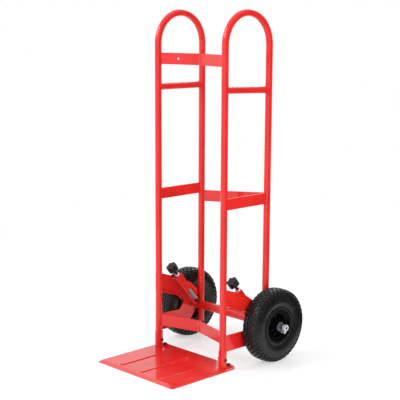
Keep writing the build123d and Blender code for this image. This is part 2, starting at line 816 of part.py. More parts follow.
def rim_half(valve_hole):
    """Outer rim half: hub, web, ribs, barrel and flange, with an optional valve hole."""
    with BuildPart() as half:
        flange_x = bead_width / 2
        barrel_r = rim_seat_r - rim_barrel_wall
        with BuildSketch(wheel_plane(wheel_x)):
            Polygon(
                (0, rim_bore_r),
                (0, rim_seat_r),
                (flange_x, rim_seat_r),
                (flange_x, rim_flange_r),
                (flange_x + rim_flange_thickness, rim_flange_r),
                (flange_x + rim_flange_thickness, rim_flare_r),
                (flange_x + rim_flange_thickness - rim_flare_depth, barrel_r),
                (rim_web, barrel_r),
                (rim_web, rim_hub_r),
                (hub_half, rim_hub_r),
                (hub_half, bearing_r),
                (hub_half - bearing_width, bearing_r),
                (hub_half - bearing_width, rim_bore_r),
                align=None,
            )
        revolve(axis=axle_line)
        rib_inner_r = rim_hub_r - rim_rib_thickness / 2
        rib_outer_r = barrel_r + rim_rib_thickness / 2
        rib_step = 360 / rim_ribs
        for rib in range(rim_ribs):
            with BuildSketch(wheel_plane(wheel_x, rib_step * rib + rib_step / 2)):
                Polygon(
                    (rim_web / 2, rib_inner_r),
                    (rim_rib_hub_rise, rib_inner_r),
                    (rim_rib_barrel_rise, rib_outer_r),
                    (rim_web / 2, rib_outer_r),
                    align=None,
                )
            extrude(amount=rim_rib_thickness / 2, both=True)
        with BuildSketch(side_plane(wheel_x)):
            with Locations((axle_back, axle_height)):
                with PolarLocations(rim_bolt_circle_r, rim_bolt_count):
                    Circle(rim_bolt_d / 2 + hole_clearance)
        extrude(amount=rim_web, mode=Mode.SUBTRACT)
        if valve_hole:
            with BuildSketch(Plane(origin=valve_point(valve_foot), z_dir=valve_radial())):
                Circle(valve_d / 2 + hole_clearance)
            extrude(amount=rim_seat_r, mode=Mode.SUBTRACT)
    return half.part


def valve_radial():
    turn = valve_angle * pi / 180
    return Vector(0, cos(turn), sin(turn))


def valve_point(offset_x):
    """The point of the valve's centre line that lies this far outward of the wheel's middle."""
    return Vector(wheel_x + offset_x, axle_back, axle_height) + valve_radial() * valve_r


# Rim halves, bolted together at the wheel's middle
keep_pair(rim_half(valve_hole=True), "outer_rim_half")
with BuildPart() as inner_rim_half:
    mirror(rim_half(valve_hole=False), about=Plane(origin=(wheel_x, 0, 0), z_dir=(1, 0, 0)))
keep_pair(inner_rim_half.part, "inner_rim_half")

# Rim bolts and nuts, four of each
with BuildPart() as rim_bolts:
    with BuildSketch(side_plane(wheel_x + rim_web)):
        with Locations((axle_back, axle_height)):
            with PolarLocations(rim_bolt_circle_r, rim_bolt_count):
                RegularPolygon(hexagon_r(rim_head_flats), 6)
    extrude(amount=rim_head_height)
    bolt_length = 2 * rim_web + rim_nut_height + bolt_overhang
    with BuildSketch(side_plane(wheel_x + rim_web - bolt_length)):
        with Locations((axle_back, axle_height)):
            with PolarLocations(rim_bolt_circle_r, rim_bolt_count):
                Circle(rim_bolt_d / 2)
    extrude(amount=bolt_length)
keep_pair(rim_bolts.part, "rim_bolts")

with BuildPart() as rim_nuts:
    with BuildSketch(side_plane(wheel_x - rim_web - rim_nut_height)):
        with Locations((axle_back, axle_height)):
            with PolarLocations(rim_bolt_circle_r, rim_bolt_count):
                RegularPolygon(hexagon_r(rim_head_flats), 6)
                Circle(rim_bolt_d / 2 + thread_clearance, mode=Mode.SUBTRACT)
    extrude(amount=rim_nut_height)
keep_pair(rim_nuts.part, "rim_nuts")

# Bearings in both ends of the hub, with a shield groove in their faces
with BuildPart() as wheel_bearings:
    for bearing_x in (wheel_x - hub_half, wheel_x + hub_half - bearing_width):
        with BuildSketch(side_plane(bearing_x)):
            with Locations((axle_back, axle_height)):
                Circle(bearing_r - bearing_press)
                Circle(axle_d / 2 + running_clearance, mode=Mode.SUBTRACT)
        extrude(amount=bearing_width)
        for groove_x in (bearing_x, bearing_x + bearing_width - bearing_groove):
            with BuildSketch(side_plane(groove_x)):
                with Locations((axle_back, axle_height)):
                    Circle(bearing_r - bearing_race)
                    Circle(axle_d / 2 + bearing_race, mode=Mode.SUBTRACT)
            extrude(amount=bearing_groove, mode=Mode.SUBTRACT)
keep_pair(wheel_bearings.part, "wheel_bearings")

# Sleeve between the two bearings
hub_sleeve_length = 2 * (hub_half - bearing_width)
hub_sleeve_x = wheel_x - hub_sleeve_length / 2
hub_sleeve_bore_r = axle_d / 2 + hole_clearance
keep_pair(axle_ring(hub_sleeve_x, hub_sleeve_length, hub_sleeve_d / 2, hub_sleeve_bore_r), "hub_sleeve")

# Valve stem: a foot through the rim's barrel, a bend and a capped end that points outwards
with BuildPart() as valve_stem:
    stem_root = valve_point(valve_foot) + valve_radial() * (rim_seat_r - valve_r + fit_gap)
    with BuildLine() as stem_path:
        FilletPolyline(stem_root, valve_point(valve_foot), valve_point(valve_end), radius=valve_bend_r)
    with BuildSketch(Plane(origin=stem_root, z_dir=-valve_radial())):
        Circle(valve_d / 2)
    sweep(path=stem_path.wires()[0])
    with BuildSketch(Plane(origin=valve_point(valve_end - valve_cap_length), z_dir=(1, 0, 0))):
        Circle(valve_cap_d / 2)
    extrude(amount=valve_cap_length)
keep_pair(valve_stem.part, "valve_stem")

# Lock pin with the collar that its spring presses on
with BuildPart() as lock_pin:
    pin_top = knob_centre_up - knob_height / 2 - knob_boss_height + knob_socket_depth
    with BuildSketch(pin_plane(pin_plane_x, pin_nose)):
        Circle(pin_d / 2)
    extrude(amount=pin_top - pin_nose)
    with BuildSketch(pin_plane(pin_plane_x, collar_low)):
        Circle(collar_d / 2)
    extrude(amount=collar_thickness)
    nose_edge = lock_pin.edges().sort_by(Axis(pin_plane(0).origin, pin_plane(0).z_dir))[0]
    chamfer(nose_edge, length=pin_nose_chamfer)
keep_pair(lock_pin.part, "lock_pin")

# Star knob, pressed on the pin's upper end
with BuildPart() as pin_knob:
    knob_low = knob_centre_up - knob_height / 2
    with BuildSketch(pin_plane(pin_plane_x, knob_low)):
        Circle(knob_d / 2)
        with PolarLocations(knob_notch_pitch_d / 2, knob_lobes):
            Circle(knob_notch_d / 2, mode=Mode.SUBTRACT)
    extrude(amount=knob_height)
    knob_ends = pin_knob.faces().filter_by(Axis((0, 0, 0), pin_plane(0).z_dir))
    fillet(knob_ends.edges(), radius=knob_fillet)
    with BuildSketch(pin_plane(pin_plane_x, knob_low - knob_boss_height)):
        Circle(knob_boss_d / 2)
    extrude(amount=knob_boss_height + knob_height / 2)
    with BuildSketch(pin_plane(pin_plane_x, knob_low - knob_boss_height)):
        Circle(pin_d / 2 + bearing_press)
    extrude(amount=knob_socket_depth, mode=Mode.SUBTRACT)
keep_pair(pin_knob.part, "pin_knob")


def helix_point(plane, turn_share, low, high):
    """Point and unit tangent of the spring's centre line, at a share of its whole length."""
    turn = 2 * pi * spring_turns * turn_share
    climb = (high - low) / (2 * pi * spring_turns)
    place = plane.x_dir * (coil_r * cos(turn)) + plane.y_dir * (coil_r * sin(turn))
    point = plane.origin + place + plane.z_dir * (low + (high - low) * turn_share)
    tangent = plane.y_dir * (coil_r * cos(turn)) - plane.x_dir * (coil_r * sin(turn)) + plane.z_dir * climb
    return point, tangent.normalized()


def biarc_joint(start, start_tangent, end, end_tangent):
    """Where the two arcs between a pair of points and tangents meet, and their common tangent."""
    chord = end - start
    tangents = start_tangent + end_tangent
    a = tangents.dot(tangents) - 4
    b = -2 * chord.dot(tangents)
    c = chord.dot(chord)
    reach = (-b - sqrt(b * b - 4 * a * c)) / (2 * a)
    near = start + start_tangent * reach
    far = end - end_tangent * reach
    return (near + far) / 2, (far - near).normalized()


# Compression spring round the pin, between the guide and the collar
coil_low = collar_low + collar_thickness + spring_wire / 2 + spring_seat_gap
coil_high = guide_low - spring_wire / 2 - spring_seat_gap
for side, pin_x in (("left", -pin_plane_x), ("right", pin_plane_x)):
    spring_plane = pin_plane(pin_x)
    steps = steps_per_turn * spring_turns
    with BuildPart() as pin_spring:
        with BuildLine() as coil:
            for step in range(steps):
                start, start_tangent = helix_point(spring_plane, step / steps, coil_low, coil_high)
                end, end_tangent = helix_point(spring_plane, (step + 1) / steps, coil_low, coil_high)
                joint, joint_tangent = biarc_joint(start, start_tangent, end, end_tangent)
                TangentArc(start, joint, tangent=start_tangent)
                TangentArc(joint, end, tangent=joint_tangent)
        wire_start, wire_tangent = helix_point(spring_plane, 0, coil_low, coil_high)
        with BuildSketch(Plane(origin=wire_start, z_dir=wire_tangent)):
            Circle(spring_wire / 2)
        sweep(path=coil.wires()[0])
    keep(pin_spring.part, f"{side}_pin_spring")
    sample_shares = [sample / samples_per_arc for sample in range(samples_per_arc)]
    coil_points = [arc.position_at(share) for arc in coil.edges() for share in sample_shares]
    per_turn = steps_per_turn * arcs_per_step * samples_per_arc
    least_gap = min(
        (coil_points[i] - coil_points[j]).length - spring_wire
        for i in range(len(coil_points))
        for j in range(i + per_turn // 2, min(i + 2 * per_turn, len(coil_points)))
    )
    print(f"{side} spring: least gap to itself {least_gap:.2f} mm, {spring_turns} turns")
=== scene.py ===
import json
import math

import bpy
from mathutils import Matrix, Vector


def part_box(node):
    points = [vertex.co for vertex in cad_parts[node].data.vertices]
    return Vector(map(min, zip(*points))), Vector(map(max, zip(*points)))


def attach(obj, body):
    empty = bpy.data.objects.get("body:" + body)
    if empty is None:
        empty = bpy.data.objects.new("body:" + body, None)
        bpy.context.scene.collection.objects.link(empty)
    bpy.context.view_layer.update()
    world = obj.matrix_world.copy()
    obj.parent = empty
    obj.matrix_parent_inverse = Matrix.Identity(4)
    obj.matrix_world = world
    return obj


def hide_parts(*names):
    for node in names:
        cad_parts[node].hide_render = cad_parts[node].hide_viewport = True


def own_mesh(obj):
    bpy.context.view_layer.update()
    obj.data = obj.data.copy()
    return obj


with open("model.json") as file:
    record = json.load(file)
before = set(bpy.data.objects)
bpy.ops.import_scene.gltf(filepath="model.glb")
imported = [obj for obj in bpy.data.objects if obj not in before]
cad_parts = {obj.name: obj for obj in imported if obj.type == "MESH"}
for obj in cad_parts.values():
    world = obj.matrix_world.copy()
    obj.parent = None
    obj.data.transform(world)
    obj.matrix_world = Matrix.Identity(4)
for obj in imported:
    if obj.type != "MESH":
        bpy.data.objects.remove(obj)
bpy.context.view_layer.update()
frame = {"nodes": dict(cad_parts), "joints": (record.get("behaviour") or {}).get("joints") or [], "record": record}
nodes = frame["nodes"]
mm = 0.001
mergeDistance = 0.002 * mm
print("frame loaded:", len(nodes), "nodes")

# Places that several pieces share, read from the frame
axleLow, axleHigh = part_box("axle_rod")
axle = Vector((0, (axleLow[1] + axleHigh[1]) / 2, (axleLow[2] + axleHigh[2]) / 2))
tyreLow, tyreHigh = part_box("right_tyre")
wheelX = (tyreLow[0] + tyreHigh[0]) / 2
wheelRadius = (tyreHigh[2] - tyreLow[2]) / 2
sides = {"left": -1, "right": 1}


# Materials, one finish for each slot of the record
# cloud turns dark into light, gloss spreads the roughness, relief is the fine bump.
# Each of the three is noise, with its scale in features per metre.

finishes = {
    # glossy powder coat: faint cloudiness, orange peel and a clear bloom on top
    "red_paint": {
        "name": "redPowderCoat", "base": (0.69, 0.015, 0.009), "roughness": 0.38,
        "cloud": {"scale": 9}, "dark": (0.61, 0.010, 0.006), "light": (0.69, 0.015, 0.009),
        "gloss": {"scale": 40, "low": 0.32, "high": 0.44},
        "relief": {"scale": 420, "detail": 2, "depth": 0.1 * mm, "strength": 0.12},
        "specular": 0.25, "specularTint": (0.8, 0.87, 1.0, 1), "coat": 0.75, "coatRoughness": 0.04,
    },
    "zinc": {
        "name": "brightZinc", "base": (0.86, 0.9, 0.95), "roughness": 0.24, "metallic": 0.5,
        "cloud": {"scale": 130}, "dark": (0.76, 0.82, 0.9), "light": (0.92, 0.95, 0.98),
        "gloss": {"scale": 300, "low": 0.16, "high": 0.34},
        "relief": {"scale": 900, "depth": 0.05 * mm, "strength": 0.3},
    },
    "black_steel": {
        "name": "blackOxide", "base": (0.02, 0.02, 0.022), "roughness": 0.42, "metallic": 0.6,
        "cloud": {"scale": 220}, "dark": (0.012, 0.012, 0.013), "light": (0.035, 0.034, 0.034),
        "relief": {"scale": 700, "depth": 0.05 * mm, "strength": 0.4},
    },
    # moulded black plastic of the rims, nearly matt
    "black_plastic": {
        "name": "mouldedBlack", "base": (0.003, 0.003, 0.0035), "roughness": 0.46,
        "cloud": {"scale": 60}, "dark": (0.002, 0.002, 0.0025), "light": (0.005, 0.005, 0.0058),
        "gloss": {"scale": 150, "low": 0.42, "high": 0.58},
        "relief": {"scale": 1400, "detail": 2, "depth": 0.06 * mm, "strength": 0.5},
        "specular": 0.07,
    },
    "knob_plastic": {
        "name": "knobPlastic", "base": (0.008, 0.008, 0.011), "roughness": 0.3,
        "cloud": {"scale": 120}, "dark": (0.006, 0.006, 0.008), "light": (0.012, 0.011, 0.015),
        "gloss": {"scale": 220, "low": 0.24, "high": 0.38},
        "relief": {"scale": 1100, "detail": 2, "depth": 0.05 * mm, "strength": 0.4},
        "specular": 0.28,
    },
    # moulded rubber, a little shiny, with faint dust in its noise
    "tyre_rubber": {
        "name": "tyreRubber", "base": (0.008, 0.008, 0.009), "roughness": 0.28,
        "cloud": {"scale": 34, "detail": 5}, "dark": (0.006, 0.006, 0.0068), "light": (0.011, 0.011, 0.0125),
        "gloss": {"scale": 40, "low": 0.24, "high": 0.34},
        "relief": {"scale": 420, "detail": 2, "depth": 0.06 * mm, "strength": 0.06},
        "specular": 0.34,
    },
    "tube_rubber": {
        "name": "butylRubber", "base": (0.02, 0.02, 0.02), "roughness": 0.6,
        "cloud": {"scale": 50}, "dark": (0.014, 0.014, 0.014), "light": (0.026, 0.026, 0.026),
    },
    "bearing_steel": {
        "name": "groundSteel", "base": (0.5, 0.5, 0.52), "roughness": 0.3, "metallic": 1.0,
        "cloud": {"scale": 200}, "dark": (0.4, 0.4, 0.42), "light": (0.56, 0.56, 0.58),
        "gloss": {"scale": 420, "low": 0.22, "high": 0.4},
    },
    "spring_steel": {
        "name": "springWire", "base": (0.86, 0.87, 0.86), "roughness": 0.34, "metallic": 0.55,
        "cloud": {"scale": 260}, "dark": (0.74, 0.76, 0.75), "light": (0.92, 0.93, 0.92),
        "gloss": {"scale": 500, "low": 0.2, "high": 0.36},
    },
    "valve_brass": {
        "name": "valveBrass", "base": (0.84, 0.77, 0.68), "roughness": 0.35, "metallic": 0.4,
        "cloud": {"scale": 300}, "dark": (0.74, 0.66, 0.56), "light": (0.9, 0.84, 0.76),
        "gloss": {"scale": 500, "low": 0.22, "high": 0.4},
    },
}

# Steel finishes darker and greyer than the nuts, for the nodes named here
dullSteel = {
    "roughness": 0.42,
    "metallic": 0.7,
    "cloud": {"scale": 110},
    "gloss": {"scale": 260, "low": 0.32, "high": 0.5},
}
dullFinishes = {
    "dullWasher": {
        "dark": (0.17, 0.18, 0.2),
        "light": (0.28, 0.29, 0.31),
        "nodes": ["hub_washers"],
    },
    "blueSleeve": {
        "dark": (0.1, 0.13, 0.16),
        "light": (0.2, 0.24, 0.28),
        "nodes": ["axle_sleeves"],
    },
    "darkBolt": {
        "dark": (0.03, 0.03, 0.032),
        "light": (0.07, 0.066, 0.06),
        "nodes": ["left_rim_bolts", "left_rim_nuts", "right_rim_bolts", "right_rim_nuts"],
    },
}

plainSockets = {
    "specular": "Specular IOR Level",
    "specularTint": "Specular Tint",
    "coat": "Coat Weight",
    "coatRoughness": "Coat Roughness",
}


def newMaterial(name, color, roughness, metallic=0.0):
    material = bpy.data.materials.new(name)
    material.use_nodes = True
    shader = material.node_tree.nodes["Principled BSDF"]
    shader.inputs["Base Color"].default_value = (*color, 1)
    shader.inputs["Roughness"].default_value = roughness
    shader.inputs["Metallic"].default_value = metallic
    return material, material.node_tree, shader


def addNode(tree, kind, **values):
    node = tree.nodes.new(kind)
    for key, value in values.items():
        if key in node.inputs:
            node.inputs[key].default_value = value
        else:
            setattr(node, key, value)
    return node


def objectNoise(tree, scale, detail=3):
    coordinates = addNode(tree, "ShaderNodeTexCoord")
    noise = addNode(tree, "ShaderNodeTexNoise", Scale=scale, Detail=detail)
    tree.links.new(coordinates.outputs["Object"], noise.inputs["Vector"])
    return noise


def varyColor(tree, shader, source, dark, light, low=0.35, high=0.65):
    ramp = addNode(tree, "ShaderNodeValToRGB")
    ramp.color_ramp.elements[0].position = low
    ramp.color_ramp.elements[0].color = (*dark, 1)
    ramp.color_ramp.elements[1].position = high
    ramp.color_ramp.elements[1].color = (*light, 1)
    tree.links.new(source.outputs["Fac"], ramp.inputs["Fac"])
    tree.links.new(ramp.outputs["Color"], shader.inputs["Base Color"])


def varyRoughness(tree, shader, scale, low, high):
    spread = addNode(tree, "ShaderNodeMapRange")
    spread.inputs["To Min"].default_value = low
    spread.inputs["To Max"].default_value = high
    tree.links.new(objectNoise(tree, scale).outputs["Fac"], spread.inputs["Value"])
    tree.links.new(spread.outputs["Result"], shader.inputs["Roughness"])


def addRelief(tree, shader, scale, depth, strength, detail=3):
    bump = addNode(tree, "ShaderNodeBump", Strength=strength, Distance=depth)
    tree.links.new(objectNoise(tree, scale, detail).outputs["Fac"], bump.inputs["Height"])
    tree.links.new(bump.outputs["Normal"], shader.inputs["Normal"])


def makeFinish(look):
    metallic = look.get("metallic", 0.0)
    material, tree, shader = newMaterial(look["name"], look["base"], look["roughness"], metallic)
    varyColor(tree, shader, objectNoise(tree, **look["cloud"]), look["dark"], look["light"])
    if "gloss" in look:
        varyRoughness(tree, shader, **look["gloss"])
    if "relief" in look:
        addRelief(tree, shader, **look["relief"])
    for key, socket in plainSockets.items():
        if key in look:
            shader.inputs[socket].default_value = look[key]
    return material


slotMaterials = {slot: makeFinish(look) for slot, look in finishes.items()}
for part in frame["record"]["subparts"]:
    node = nodes[part["node"]]
    node.data.materials.clear()
    node.data.materials.append(slotMaterials[part["material_slot"]])
for name, look in dullFinishes.items():
    material = makeFinish({**dullSteel, **look, "name": name, "base": look["light"]})
    for node in look["nodes"]:
        nodes[node].data.materials[0] = material


# Modelling helpers

def deselectAll():
    if bpy.context.object and bpy.context.object.mode != "OBJECT":
        bpy.ops.object.mode_set(mode="OBJECT")
    bpy.ops.object.select_all(action="DESELECT")


def selectOnly(piece):
    deselectAll()
    piece.select_set(True)
    bpy.context.view_layer.objects.active = piece


def openEdit(piece):
    selectOnly(piece)
    bpy.ops.object.mode_set(mode="EDIT")
    bpy.ops.mesh.select_all(action="SELECT")


def closeEdit():
    bpy.ops.object.mode_set(mode="OBJECT")


def clearMeshSelection(piece):
    # nothing of the mesh is selected, so that code can pick its parts
    openEdit(piece)
    bpy.ops.mesh.select_all(action="DESELECT")
    closeEdit()


def applyPlace(piece):
    selectOnly(piece)
    bpy.ops.object.transform_apply(location=True, rotation=True, scale=True)


def applyModifiers(piece):
    selectOnly(piece)
    for modifier in list(piece.modifiers):
        bpy.ops.object.modifier_apply(modifier=modifier.name)


def smoothByAngle(piece, degrees):
    selectOnly(piece)
    bpy.ops.object.shade_smooth_by_angle(angle=math.radians(degrees))


def joinPieces(pieces, name):
    deselectAll()
    for piece in pieces:
        piece.select_set(True)
    bpy.context.view_layer.objects.active = pieces[0]
    bpy.ops.object.join()
    joined = bpy.context.object
    joined.name = name
    joined.data.name = name
    return joined


def copyPiece(piece, name, matrix):
    # a copy with its own mesh, moved in the mesh
    twin = piece.copy()
    twin.data = piece.data.copy()
    twin.name = name
    twin.data.name = name
    bpy.context.scene.collection.objects.link(twin)
    twin.data.transform(matrix)
    if matrix.determinant() < 0:
        twin.data.flip_normals()
    return twin


def mirroredPair(right, name):
    # a piece of the right side, joined with its mirror image on the left
    left = copyPiece(right, name + "Left", Matrix.Scale(-1, 4, (1, 0, 0)))
    return joinPieces([right, left], name)


def lathe(name, profile, segments):
    # rings of (x, radius) round the X axis, extruded one from the other and closed on the first
    startX, startRadius = profile[0]
    deselectAll()
    bpy.ops.mesh.primitive_circle_add(vertices=segments, radius=startRadius, location=(startX, 0, 0),
                                      rotation=(0, math.pi / 2, 0))
    piece = bpy.context.object
    piece.name = name
    applyPlace(piece)
    openEdit(piece)
    lastX, lastRadius = startX, startRadius
    for ringX, ringRadius in [*profile[1:], profile[0]]:
        bpy.ops.mesh.extrude_edges_move(TRANSFORM_OT_translate={"value": (ringX - lastX, 0, 0)})
        growth = ringRadius / lastRadius
        bpy.ops.transform.resize(value=(1, growth, growth), center_override=(ringX, 0, 0))
        lastX, lastRadius = ringX, ringRadius
    bpy.ops.mesh.select_all(action="SELECT")
    bpy.ops.mesh.remove_doubles(threshold=mergeDistance)
    bpy.ops.mesh.normals_make_consistent(inside=False)
    closeEdit()
    return piece


def boxMiddle(node):
    low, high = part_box(node)
    return Vector([(a + b) / 2 for a, b in zip(low, high)])


def pinJoint(side):
    return next(joint for joint in frame["joints"] if joint["name"] == side + "_pin_pull")


def finishPiece(piece, body, slotName, replaced=()):
    piece.data.materials.clear()
    piece.data.materials.append(slotMaterials[slotName])
    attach(piece, body)
    if replaced:
        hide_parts(*replaced)


# Tyres with a block tread
# crown is x in mm and the drop below the base of the blocks, side and inside are x and radius in mm,
# and ring is mm in from ringHalf and out from ringRadius.

tyre = {
    "pitches": 44,
    "groundRadius": wheelRadius,
    "crown": [(9, 0.2), (18, 1.3), (25, 3.9), (30, 8), (33.2, 13.4), (34.9, 20)],
    "wallHalf": 35.6 * mm,
    "wallRadius": 108 * mm,
    "side": [(35.5, 102), (34.9, 95.5), (33.7, 89), (31.9, 83), (30.2, 78), (29.2, 74), (29, 71.4)],
    "ringRadius": 67 * mm,
    "ringHalf": 33.8 * mm,
    "ring": [(3, 3.8), (1.2, 3), (0.2, 1.6), (0, 0), (0.5, -1.6)],
    "flangeRadius": 63.5 * mm,
    "flangeHalf": 30.4 * mm,
    "flangeEdge": (1.2 * mm, 0.6 * mm),
    "beadHalf": 27 * mm,
    "beadThickness": 8 * mm,
    "seatRadius": 51.3 * mm,
    "inside": [(24, 76), (28, 90), (29.8, 104), (28, 120), (20, 128), (0, 130.5)],
    "blockHeight": 3.2 * mm,
    "blockRoot": 1.7,  # whole height of a block, with what sinks into the tyre, over blockHeight
    "blockTop": 0.84,  # size of a block's top over its foot
    "edgeBevel": 0.9 * mm,
    "centreBlock": (12.5 * mm, 15.6 * mm),
    "middleBlock": (10.6 * mm, 15.6 * mm),
    "middleX": 13.2 * mm,
    "middleDrop": 0.4 * mm,
    "middleTilt": 5,
    "shoulderBlock": (10.5 * mm, 15.2 * mm),
    "shoulderX": 25.2 * mm,
    "shoulderDrop": 2.9 * mm,
    "shoulderTilt": 27,
    "wallBlock": (9.5 * mm, 11 * mm),
    "wallBlockX": 33.2 * mm,
    "wallBlockRadius": 124.5 * mm,
    "wallBlockTilt": 68,
    "smoothAngle": 38,
}


def tyreCarcass():
    t = tyre
    base = t["groundRadius"] - t["blockHeight"]
    edgeX, edgeRise = t["flangeEdge"]
    beadInside = t["beadHalf"] - t["beadThickness"]
    half = [
        (0, base),
        *[(x * mm, base - drop * mm) for x, drop in t["crown"]],
        (t["wallHalf"], t["wallRadius"]),
        *[(x * mm, radius * mm) for x, radius in t["side"]],
        *[(t["ringHalf"] - inset * mm, t["ringRadius"] + rise * mm) for inset, rise in t["ring"]],
        (t["flangeHalf"] + edgeX, t["flangeRadius"] + edgeRise),
        (t["flangeHalf"], t["flangeRadius"]),
        (t["beadHalf"], t["flangeRadius"]),
        (t["beadHalf"], t["seatRadius"]),
        (beadInside, t["seatRadius"]),
        (beadInside, t["flangeRadius"]),
        *[(x * mm, radius * mm) for x, radius in t["inside"]],
    ]
    mirrored = [(-x, radius) for x, radius in reversed(half[1:-1])]
    return lathe("tyreCarcass", half + mirrored, 2 * t["pitches"])


def treadBlock(width, length, height, centreX, radius, tiltDegrees, turn):
    # one rubber block: a cube whose top is drawn in and whose edges are softened
    deselectAll()
    bpy.ops.mesh.primitive_cube_add(size=1)
    block = bpy.context.object
    block.scale = (width, length, height)
    applyPlace(block)
    clearMeshSelection(block)
    for face in block.data.polygons:
        face.select = face.normal.z > 0.9
    bpy.ops.object.mode_set(mode="EDIT")
    bpy.ops.mesh.select_mode(type="FACE")
    top = tyre["blockTop"]
    bpy.ops.transform.resize(value=(top, top, 1), center_override=(0, 0, height / 2))
    closeEdit()
    bevel = block.modifiers.new("edges", "BEVEL")
    bevel.width = tyre["edgeBevel"]
    bevel.segments = 1
    applyModifiers(block)
    tilt = Matrix.Rotation(math.radians(tiltDegrees), 4, "Y")
    place = Matrix.Translation((centreX, 0, radius))
    spin = Matrix.Rotation(turn, 4, "X")
    block.data.transform(spin @ place @ tilt)
    return block


def treadPitch():
    # the blocks of one pitch: centre, then each side's middle, shoulder and wall block
    t = tyre
    halfPitch = 2 * math.pi / t["pitches"] / 2
    height = t["blockHeight"] * t["blockRoot"]
    radius = t["groundRadius"] - height / 2
    blocks = [treadBlock(*t["centreBlock"], height, 0, radius, 0, 0)]
    for hand in (-1, 1):
        middleX, shoulderX, wallX = hand * t["middleX"], hand * t["shoulderX"], hand * t["wallBlockX"]
        blocks.append(treadBlock(*t["middleBlock"], height, middleX, radius - t["middleDrop"],
                                 hand * t["middleTilt"], halfPitch))
        blocks.append(treadBlock(*t["shoulderBlock"], height, shoulderX, radius - t["shoulderDrop"],
                                 hand * t["shoulderTilt"], 0))
        blocks.append(treadBlock(*t["wallBlock"], height, wallX, t["wallBlockRadius"],
                                 hand * t["wallBlockTilt"], halfPitch))
    return joinPieces(blocks, "treadPitch")


def buildTyres():
    carcass = tyreCarcass()
    pitch = treadPitch()
    parts = [carcass, pitch]
    for step in range(1, tyre["pitches"]):
        turn = Matrix.Rotation(2 * math.pi * step / tyre["pitches"], 4, "X")
        parts.append(copyPiece(pitch, "treadCopy", turn))
    rightTyre = joinPieces(parts, "rightTyreTread")
    rightTyre.data.transform(Matrix.Translation((wheelX, axle.y, axle.z)))
    smoothByAngle(rightTyre, tyre["smoothAngle"])
    toAxle = Matrix.Translation((0, axle.y, 0))
    fromAxle = Matrix.Translation((0, -axle.y, 0))
    halfTurn = toAxle @ Matrix.Rotation(math.pi, 4, "Z") @ fromAxle
    leftTyre = copyPiece(rightTyre, "leftTyreTread", halfTurn)
    finishPiece(rightTyre, "right_wheel", "tyre_rubber", ["right_tyre"])
    finishPiece(leftTyre, "left_wheel", "tyre_rubber", ["left_tyre"])


buildTyres()
print("tyres done")


# Chamfered nuts in place of the plain hexagons

nutLook = {
    "axleFlats": 22.8 * mm,
    "axleHeight": 13 * mm,
    "axleBore": 8.1 * mm,
    "guideFlats": 17 * mm,
    "guideHeight": 9 * mm,
    "guideBore": 7.1 * mm,
    "faceLand": 0.99,  # the flat end face's share of the distance across flats
    "chamfer": 0.16,  # the chamfer's share of the height, on top of chamferBase
    "chamferBase": 0.4 * mm,
    "cornerRoom": 1 * mm,
    "boreEdge": 0.5 * mm,
    "overrun": 0.01 * mm,
    "segments": 48,
    "smoothAngle": 25,
}


def chamferedNut(name, flats, height, bore):
    # hexagon prism cut by a turned body that carries the chamfers and the bore
    n = nutLook
    deselectAll()
    bpy.ops.mesh.primitive_cylinder_add(vertices=6, radius=flats / math.sqrt(3), depth=height,
                                        location=(height / 2, 0, 0), rotation=(0, math.pi / 2, 0))
    nut = bpy.context.object
    nut.name = name
    applyPlace(nut)
    land = flats / 2 * n["faceLand"]
    corner = flats / math.sqrt(3) + n["cornerRoom"]
    slope = n["chamfer"] * height + n["chamferBase"]
    low, high = -n["overrun"], height + n["overrun"]
    cutter = lathe("nutCutter", [
        (low, bore + n["boreEdge"]), (n["boreEdge"], bore),
        (height - n["boreEdge"], bore), (high, bore + n["boreEdge"]),
        (high, land), (height - slope, corner), (slope, corner), (low, land)], n["segments"])
    cut = nut.modifiers.new("chamfers", "BOOLEAN")
    cut.operation = "INTERSECT"
    cut.solver = "EXACT"
    cut.object = cutter
    applyModifiers(nut)
    bpy.data.objects.remove(cutter)
    smoothByAngle(nut, n["smoothAngle"])
    return nut


def buildAxleNuts():
    nut = chamferedNut("rightAxleNut", nutLook["axleFlats"], nutLook["axleHeight"], nutLook["axleBore"])
    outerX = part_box("axle_nuts")[1][0]
    nut.data.transform(Matrix.Translation((outerX - nutLook["axleHeight"], axle.y, axle.z)))
    finishPiece(mirroredPair(nut, "axleNuts"), "frame", "zinc", ["axle_nuts"])


# Rod ends with a centre hole, which close the nuts' bores. A black disc on the hole's floor is painted shade that
# darkens the hole

rodLook = {
    "radius": 7.8 * mm,
    "proud": 2.6 * mm,
    "edge": 0.9 * mm,
    "gap": 0.1 * mm,
    "poleRadius": 0.2 * mm,
    "hole": 5 * mm,
    "holeDepth": 2.2 * mm,
    "holeTaper": 0.3 * mm,
    "endSegments": 40,
    "centreFoot": 0.4 * mm,  # how far the foot of the painted-shade disc stays inside the hole
    "centreTop": 0.7 * mm,  # how far its rim does
    "centreRim": 0.9 * mm,
    "centreDish": 0.4 * mm,
    "centreSegments": 24,
    "smoothAngle": 30,
}


